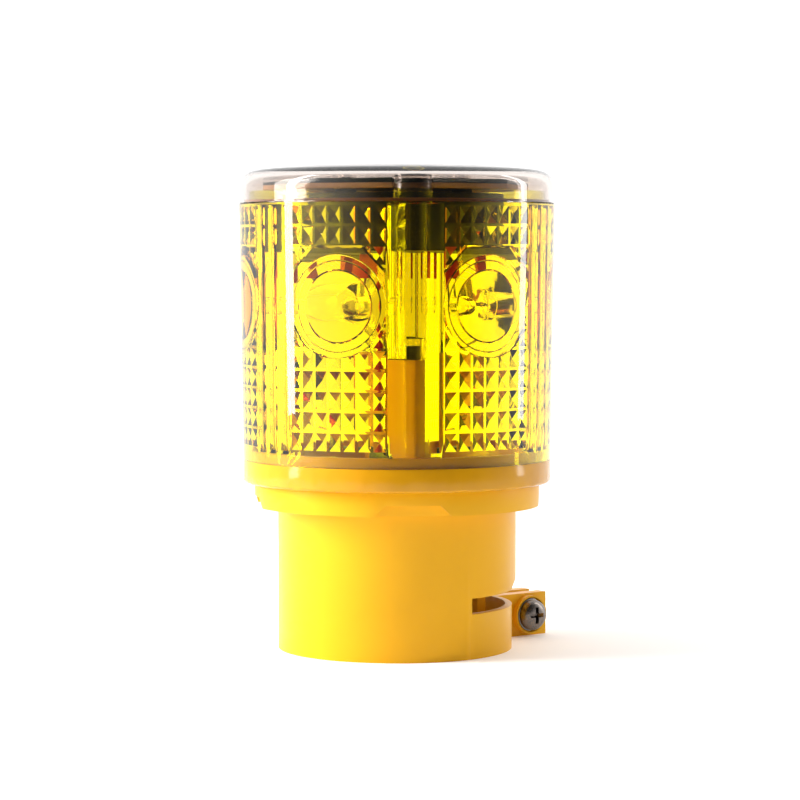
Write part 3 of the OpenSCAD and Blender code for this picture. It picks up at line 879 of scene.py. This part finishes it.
        # The half circle under the eye is a little smaller between its ends
        steps = 24
        for k in range(steps + 1):
            turn = -math.radians(180 / steps * k)
            radius = reach - (0 if k in (0, steps) else 0.6 * MM)
            outline.append((radius * math.cos(turn), back, centre + radius * math.sin(turn)))
        piece = prism("lens_surround", outline, (0, 2.7 * MM, 0))
        open_mesh(piece)
        pick(piece, "faces", lambda at, face: face.normal.y > 0.9)
        bpy.ops.mesh.inset(thickness=0.75 * MM)
        bpy.ops.transform.translate(value=(0, -0.65 * MM, 0))
        close_mesh()
        return piece

    def eye(self, sizes):
        """A bulging middle and two rings, turned about the eye's own axis."""
        radius = sizes.eye_radius
        root = -0.8 * MM
        face = 2.5 * MM
        bulge = 60 * MM
        edge = math.sqrt(bulge**2 - radius**2)
        dome = [
            (radius * math.cos(a), face + math.sqrt(bulge**2 - (radius * math.cos(a)) ** 2) - edge)
            for a in [math.radians(15 * k) for k in range(1, 6)]
        ]
        # The outer wall, the outer ring, a notch, the inner ring and a notch round the dome
        profile = [
            (0, root),
            (radius + 4.7 * MM, root),
            (radius + 4.7 * MM, face - 0.2 * MM),
            (radius + 4.4 * MM, face),
            (radius + 3.2 * MM, face),
            (radius + 3.0 * MM, face - 0.3 * MM),
            (radius + 2.8 * MM, face),
            (radius + 0.5 * MM, face),
            (radius + 0.25 * MM, face - 0.35 * MM),
            (radius, face),
            *dome,
            (0, face + bulge - edge),
        ]
        piece = lathe("lens_eye", profile, ROUND // 2)
        place(piece, Matrix.Translation((0, 0, sizes.eye_height)) @ Z_TO_Y)
        return piece


class LIGHT_OT_cap(bpy.types.Operator):
    """Clear domed cap with its two long pillars and four studs."""

    bl_idname = "warning_light.cap"
    bl_label = "Cap"

    def execute(self, context):
        sizes = context.scene.light_cap
        radius = LENS_HIGH[0]
        foot = LENS_HIGH[2]
        edge_x = radius - sizes.edge
        # The dome's radius, and the lean of the line where it meets the rounded edge
        gap = sizes.side - (CAP_TOP - foot)
        dome = (sizes.edge**2 - edge_x**2 - gap**2) / (2 * (gap + sizes.edge))
        lean = math.atan2(edge_x, dome + gap)

        def outline(wall):
            """The dome and the rounded edge at a depth under the outside."""
            points = []
            for k in range(DOME_STEPS + 1):
                turn = lean * k / DOME_STEPS
                points.append(
                    (
                        (dome - wall) * math.sin(turn),
                        CAP_TOP - dome + (dome - wall) * math.cos(turn),
                    )
                )
            for k in range(1, EDGE_STEPS + 1):
                turn = lean + (math.pi / 2 - lean) * k / EDGE_STEPS
                points.append(
                    (
                        edge_x + (sizes.edge - wall) * math.sin(turn),
                        foot + sizes.side + (sizes.edge - wall) * math.cos(turn),
                    )
                )
            return points

        def under_dome(post_radius, post_at):
            """A height just inside the wall over the whole of a post."""
            reach = post_at + post_radius
            inside = CAP_TOP - dome + math.sqrt((dome - sizes.wall) ** 2 - reach**2)
            return inside + 0.6 * MM

        # The groove in the rim holds the seal
        groove = radius - 1.65 * MM
        groove_top = foot + 1.05 * MM
        chamfer = 0.3 * MM
        profile = outline(0) + [
            (radius, foot + chamfer),
            (radius - chamfer, foot),
            (groove, foot),
            (groove, groove_top),
            (radius - sizes.wall, groove_top),
        ]
        profile += list(reversed(outline(sizes.wall)))
        piece = lathe("clear_cap", profile, ROUND)

        high = under_dome(sizes.pillar_radius, sizes.pillar_at)
        pillar = self.post("cap_pillar", sizes.pillar_radius, BOSS_TOP, high, 1.36 * MM, 6 * MM)
        turns = (BOSS_ANGLE, BOSS_ANGLE + math.pi)
        combine_copies(piece, pillar, [radial(turn, sizes.pillar_at) for turn in turns])
        high = under_dome(sizes.stud_radius, sizes.stud_at)
        stud = self.post("cap_stud", sizes.stud_radius, CELLS_FACE, high, 1.21 * MM, 2.4 * MM)
        turns = [BOSS_ANGLE + math.radians(45 + 90 * k) for k in range(4)]
        combine_copies(piece, stud, [radial(turn, sizes.stud_at) for turn in turns])
        finish_piece(
            piece,
            "clear_cap",
            "housing",
            finish_of("clear_polycarbonate"),
            ["top_cap"],
        )
        return {"FINISHED"}

    def post(self, name, radius, low, high, hole, depth):
        """A round post with a blind screw hole in its foot."""
        chamfer = 0.2 * MM
        profile = [
            (hole, low),
            (radius - chamfer, low),
            (radius, low + chamfer),
            (radius, high),
            (0, high),
            (0, low + depth + hole * 0.6),
            (hole, low + depth),
        ]
        return lathe(name, profile, 64, closed=True)


class LIGHT_OT_base(bpy.types.Operator):
    """Socket, glossy base ring and the two seals."""

    bl_idname = "warning_light.base"
    bl_label = "Base"

    def execute(self, context):
        edges = context.scene.light_edges
        satin = finish_of("moulded_yellow_abs")
        rubber = finish_of("silicone_seal")
        rounded_node("socket", "housing", satin, edges.moulded, 3)
        # The ring's polished finish carries a darker yellow as painted shade
        gloss = finish_of("polished_yellow_abs")
        ring = rounded_node("base_ring", "housing", gloss, edges.small, 2)
        # The bosses inside the lens have the plain moulded face and the socket's lighter yellow; the
        # rest of the ring keeps the darker yellow, which is painted shade
        ring.data.materials.append(satin)
        for face in ring.data.polygons:
            if face.center.z > LENS_LOW[2] + MM:
                face.material_index = 1
        rounded_node("base_seal", "housing", rubber, edges.small)
        rounded_node("cap_seal", "housing", rubber, edges.small)
        return {"FINISHED"}


class LIGHT_OT_clamp(bpy.types.Operator):
    """Clamp screw with its cross recess and thread, washer and nut."""

    bl_idname = "warning_light.clamp"
    bl_label = "Clamp hardware"

    def execute(self, context):
        sizes = context.scene.light_clamp
        edges = context.scene.light_edges
        head = sizes.head_radius
        tall = sizes.head_height
        shank = sizes.shank_radius
        root = shank - sizes.thread_depth
        pitch = sizes.thread_pitch
        end = SCREW_HIGH[1] - SEAT
        # The pan head, as shares of its radius and height
        curve = [(0, 1), (0.42, 0.985), (0.66, 0.91), (0.84, 0.76), (0.95, 0.52), (1, 0.25)]
        curve += [(1, 0.08), (0.97, 0)]
        profile = [(head * out, -tall * up) for out, up in curve]
        z = 2 * MM
        profile += [(shank, 0), (shank, z)]
        while z < end - 2 * pitch:
            profile += [(root, z + pitch * 0.4), (root, z + pitch * 0.6), (shank, z + pitch * 0.95)]
            z += pitch
        profile += [(root, end - 0.3 * MM), (shank * 0.7, end), (0, end)]
        piece = lathe("clamp_screw_part", profile, 64)
        combine(piece, self.cross_recess(head, tall), "DIFFERENCE")
        axis = Vector((
            (SCREW_LOW[0] + SCREW_HIGH[0]) / 2,
            SEAT,
            (SCREW_LOW[2] + SCREW_HIGH[2]) / 2,
        ))
        place(piece, Matrix.Translation(axis) @ Z_TO_Y)
        finish_piece(
            piece,
            "clamp_screw_part",
            "screw",
            finish_of("darkened_steel"),
            ["clamp_screw"],
        )
        zinc = finish_of("zinc_plated_steel")
        rounded_node("clamp_washer", "washer", zinc, edges.small)
        rounded_node("clamp_nut", "housing", zinc, edges.small)
        return {"FINISHED"}

    def cross_recess(self, head, tall):
        """A tapering cross that is cut into the head."""
        arm = head * 0.58
        half = head * 0.14
        start = -tall - 0.2 * MM
        corner = [(arm, -half), (arm, half), (half, half)]
        outline = []
        for k in range(4):
            turn = Matrix.Rotation(math.radians(90 * k), 3, "Z")
            outline += [turn @ Vector((x, y, start)) for x, y in corner]
        piece = prism("cross", outline, (0, 0, tall * 0.75))
        open_mesh(piece)
        pick(piece, "verts", lambda at, _: at.z > -tall * 0.8)
        bpy.ops.transform.resize(value=(0.5, 0.5, 1), center_override=(0, 0, 0))
        close_mesh()
        return piece


class LIGHT_OT_panel(bpy.types.Operator):
    """Octagonal solar panel under the cap."""

    bl_idname = "warning_light.panel"
    bl_label = "Solar panel"

    def execute(self, context):
        small = context.scene.light_edges.small
        rounded_node("solar_carrier", "housing", finish_of("tan_nylon"), small)
        rounded_node("solar_board", "housing", finish_of("solder_mask"), 0)
        rounded_node("solar_cells", "housing", finish_of("silicon_cells"), 0)
        rounded_node("cell_ribbons", "housing", finish_of("tinned_copper"), 0)
        return {"FINISHED"}


class LIGHT_OT_tray(bpy.types.Operator):
    """Black tray with the board, its parts and the battery."""

    bl_idname = "warning_light.tray"
    bl_label = "Tray and board"

    def execute(self, context):
        small = context.scene.light_edges.small
        rows = [
            ("electronics_tray", "black_plastic", "black_polypropylene", small),
            ("circuit_board", "board", "solder_mask", 0),
            ("driver_chip", "component_black", "epoxy_compound", small / 2),
            ("inductor", "copper_winding", "enamelled_copper", small),
            ("capacitor", "component_black", "epoxy_compound", small),
            ("resistors", "tan_plastic", "tan_nylon", small),
            ("transistor", "component_black", "epoxy_compound", small / 2),
            ("battery_cell", "battery_wrap", "pvc_wrap", small),
            ("battery_clips", "tinned_metal", "tinned_copper", small / 2),
        ]
        for node, slot, finish, bevel in rows:
            rounded_node(node, "housing", finish_of(finish), bevel)
        return {"FINISHED"}


class LIGHT_OT_leds(bpy.types.Operator):
    """Six LEDs on their leads, the red sleeves and the two wires."""

    bl_idname = "warning_light.leds"
    bl_label = "LEDs and wires"

    def execute(self, context):
        small = context.scene.light_edges.small
        bulb = 2.5 * MM
        long = 8.6 * MM
        flange = 2.9 * MM
        thick = 1 * MM
        chamfer = 0.1 * MM
        profile = [
            (0, 0),
            (flange - chamfer, 0),
            (flange, chamfer),
            (flange, thick - chamfer),
            (flange - chamfer, thick),
            (bulb, thick),
            (bulb, long - bulb),
        ]
        steps = 8
        for k in range(1, steps):
            turn = math.radians(90 * k / steps)
            profile.append((bulb * math.cos(turn), long - bulb + bulb * math.sin(turn)))
        profile.append((0, long))
        one = lathe("led_bulbs", profile, 32)
        lie = Matrix.Rotation(math.radians(90), 4, "Y")
        back = LEDS_REACH - long
        height = context.scene.light_lens.eye_height
        angles = [FULL_TURN / PANELS * (k + 0.5) for k in range(PANELS)]
        piece = copies(one, [radial(angle, back, height) @ lie for angle in angles])
        finish_piece(piece, "led_bulbs", "housing", finish_of("led_epoxy"), ["leds"])
        rounded_node("led_leads", "housing", finish_of("tinned_copper"), 0)
        rounded_node("led_sleeves", "housing", finish_of("red_pvc"), small)
        rounded_node("wire_red", "housing", finish_of("red_pvc"), 0)
        rounded_node("wire_black", "housing", finish_of("black_polypropylene"), 0)
        return {"FINISHED"}


class LIGHT_OT_screws(bpy.types.Operator):
    """Case, socket and tray screws."""

    bl_idname = "warning_light.screws"
    bl_label = "Inner screws"

    def execute(self, context):
        small = context.scene.light_edges.small / 2
        for node in ("case_screws", "socket_screws", "tray_screws"):
            rounded_node(node, "housing", finish_of("zinc_plated_steel"), small)
        return {"FINISHED"}


class LIGHT_OT_switch(bpy.types.Operator):
    """Push switch: plate, seal, body, pins, spring and button."""

    bl_idname = "warning_light.switch"
    bl_label = "Push switch"

    def execute(self, context):
        edges = context.scene.light_edges
        yellow = finish_of("moulded_yellow_abs")
        rows = [
            ("switch_plate", "yellow_plastic", yellow, edges.small),
            ("switch_seal", "seal_rubber", finish_of("silicone_seal"), 0),
            ("switch_body", "black_plastic", finish_of("black_polypropylene"), edges.small),
            ("switch_pins", "tinned_metal", finish_of("tinned_copper"), 0),
        ]
        for node, slot, finish, bevel in rows:
            rounded_node(node, "housing", finish, bevel)
        rounded_node("switch_button", "button", yellow, edges.moulded, 3)
        spring = rounded_node("switch_spring", "housing", finish_of("spring_wire"), 0)
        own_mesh(spring)
        return {"FINISHED"}


class LIGHT_OT_stage(bpy.types.Operator):
    """Camera, white surroundings, floor and soft lights."""

    bl_idname = "warning_light.stage"
    bl_label = "Stage"

    def execute(self, context):
        stage = context.scene.light_stage
        scene = context.scene
        scene.view_settings.view_transform = "Standard"
        spot = Vector((
            stage.distance * math.cos(stage.direction),
            stage.distance * math.sin(stage.direction),
            stage.height,
        ))
        ahead = Vector((-spot.x, -spot.y, 0)).normalized()
        right = ahead.cross(Vector((0, 0, 1)))
        aim = Vector((0, 0, stage.height - stage.distance * math.tan(stage.pitch)))
        aim += stage.aside * right
        deselect_all()
        bpy.ops.object.camera_add(location=spot)
        camera = context.object
        camera.name = "camera"
        camera.data.lens = stage.lens
        camera.data.sensor_width = 36
        camera.data.clip_start = 0.01
        camera.rotation_euler = (aim - spot).to_track_quat("-Z", "Y").to_euler()
        scene.camera = camera

        world = bpy.data.worlds.new("white_surroundings")
        scene.world = world
        world.use_nodes = True
        tree = world.node_tree
        tree.nodes.clear()
        look = add_node(tree, "ShaderNodeTexCoord").outputs["Generated"]
        # Dim above and behind the camera, a little to its right, and bright behind the object
        dim = Matrix.Rotation(math.radians(20), 3, "Z") @ -ahead + Vector((0, 0, 0.35))
        # The strength changes between two cosines of the angle to the middle of the dim side
        facing = add_node(
            tree,
            "ShaderNodeVectorMath",
            {"operation": "DOT_PRODUCT", 1: dim.normalized()},
            {0: look},
        )
        strength = add_node(
            tree,
            "ShaderNodeMapRange",
            {"From Min": 0.05, "From Max": 0.8, "To Min": stage.bright, "To Max": stage.dim},
            {"Value": facing.outputs["Value"]},
        )
        sky = add_node(
            tree,
            "ShaderNodeBackground",
            {"Color": (1, 1, 1, 1)},
            {"Strength": strength.outputs[0]},
        )
        add_node(tree, "ShaderNodeOutputWorld", links={"Surface": sky.outputs[0]})

        deselect_all()
        bpy.ops.mesh.primitive_circle_add(vertices=96, radius=1.0, fill_type="NGON")
        floor = context.object
        floor.name = "floor"
        floor.data.materials.append(self.paint())

        # Degrees from the camera, positive to its right; then distance, height, width and power
        lights = [
            ("left_strip", -79, 0.42, 0.26, 0.05, stage.strip),
            ("key_light", -84, 0.6, 0.3, 0.35, stage.key),
            ("right_strip", 100, 0.5, 0.26, 0.06, stage.fill),
        ]
        for name, turn, away, height, wide, power in lights:
            side = Matrix.Rotation(math.radians(turn), 3, "Z") @ -ahead
            light = self.soft_light(name, side * away + Vector((0, 0, height)), wide, power)
            # Only the strips show in reflections
            light.visible_glossy = name != "key_light"
        return {"FINISHED"}

    def paint(self):
        """White paint that fades out before the floor ends, so that no horizon shows."""
        material, tree, at = start_material("white_stage_paint")
        away = add_node(tree, "ShaderNodeVectorMath", {"operation": "LENGTH"}, {0: at})
        fade = add_node(
            tree,
            "ShaderNodeMapRange",
            {"interpolation_type": "SMOOTHSTEP", "From Min": 0.25, "From Max": 0.8},
            {"Value": away.outputs["Value"]},
        )
        grain = add_node(
            tree, "ShaderNodeTexNoise", {"Scale": 1 / (4 * MM)}, {"Vector": at}
        )
        bump = add_node(
            tree,
            "ShaderNodeBump",
            {"Distance": 0.01 * MM},
            {"Height": grain.outputs["Fac"]},
        )
        white = add_node(
            tree,
            "ShaderNodeBsdfPrincipled",
            {
                "Base Color": (*srgb("FAFAFA"), 1),
                "Roughness": 0.7,
                "Emission Color": (1, 1, 1, 1),
                "Emission Strength": 0.1,
            },
            {"Normal": bump.outputs[0]},
        )
        nothing = add_node(tree, "ShaderNodeBsdfTransparent")
        both = add_node(
            tree,
            "ShaderNodeMixShader",
            links={0: fade.outputs[0], 1: white.outputs[0], 2: nothing.outputs[0]},
        )
        return close_material(material, tree, both)

    def soft_light(self, name, at, wide, power):
        """A tall soft light that faces the middle of the object."""
        middle = Vector((0, 0, 0.07))
        bpy.ops.object.light_add(type="AREA", location=at)
        light = bpy.context.object
        light.name = name
        light.data.shape = "RECTANGLE"
        light.data.size = wide
        light.data.size_y = 0.5
        light.data.energy = power
        light.rotation_euler = (middle - at).to_track_quat("-Z", "Y").to_euler()
        return light


class LIGHT_PT_panel(bpy.types.Panel):
    """Lists the steps that build the light."""

    bl_idname = "LIGHT_PT_panel"
    bl_label = "Warning light"
    bl_space_type = "VIEW_3D"
    bl_region_type = "UI"
    bl_category = "Warning Light"

    def draw(self, context):
        for operator in OPERATORS:
            self.layout.operator(operator.bl_idname)


GROUPS = {
    "light_lens": LensSizes,
    "light_cap": CapSizes,
    "light_clamp": ClampSizes,
    "light_edges": RoundedEdges,
    "light_colours": Colours,
    "light_stage": StageSettings,
}
OPERATORS = [
    LIGHT_OT_materials,
    LIGHT_OT_stage,
    LIGHT_OT_base,
    LIGHT_OT_lens,
    LIGHT_OT_cap,
    LIGHT_OT_clamp,
    LIGHT_OT_panel,
    LIGHT_OT_tray,
    LIGHT_OT_leds,
    LIGHT_OT_screws,
    LIGHT_OT_switch,
]


def register():
    for group in [*GROUPS.values(), *OPERATORS, LIGHT_PT_panel]:
        bpy.utils.register_class(group)
    for name, group in GROUPS.items():
        setattr(bpy.types.Scene, name, bpy.props.PointerProperty(type=group))


def unregister():
    for name in GROUPS:
        delattr(bpy.types.Scene, name)
    for group in reversed([*GROUPS.values(), *OPERATORS, LIGHT_PT_panel]):
        bpy.utils.unregister_class(group)


def main():
    register()
    bpy.ops.warning_light.materials()
    bpy.ops.warning_light.stage()
    bpy.ops.warning_light.base()
    bpy.ops.warning_light.lens()
    bpy.ops.warning_light.cap()
    bpy.ops.warning_light.clamp()
    bpy.ops.warning_light.panel()
    bpy.ops.warning_light.tray()
    bpy.ops.warning_light.leds()
    bpy.ops.warning_light.screws()
    bpy.ops.warning_light.switch()


if __name__ == "__main__":
    main()
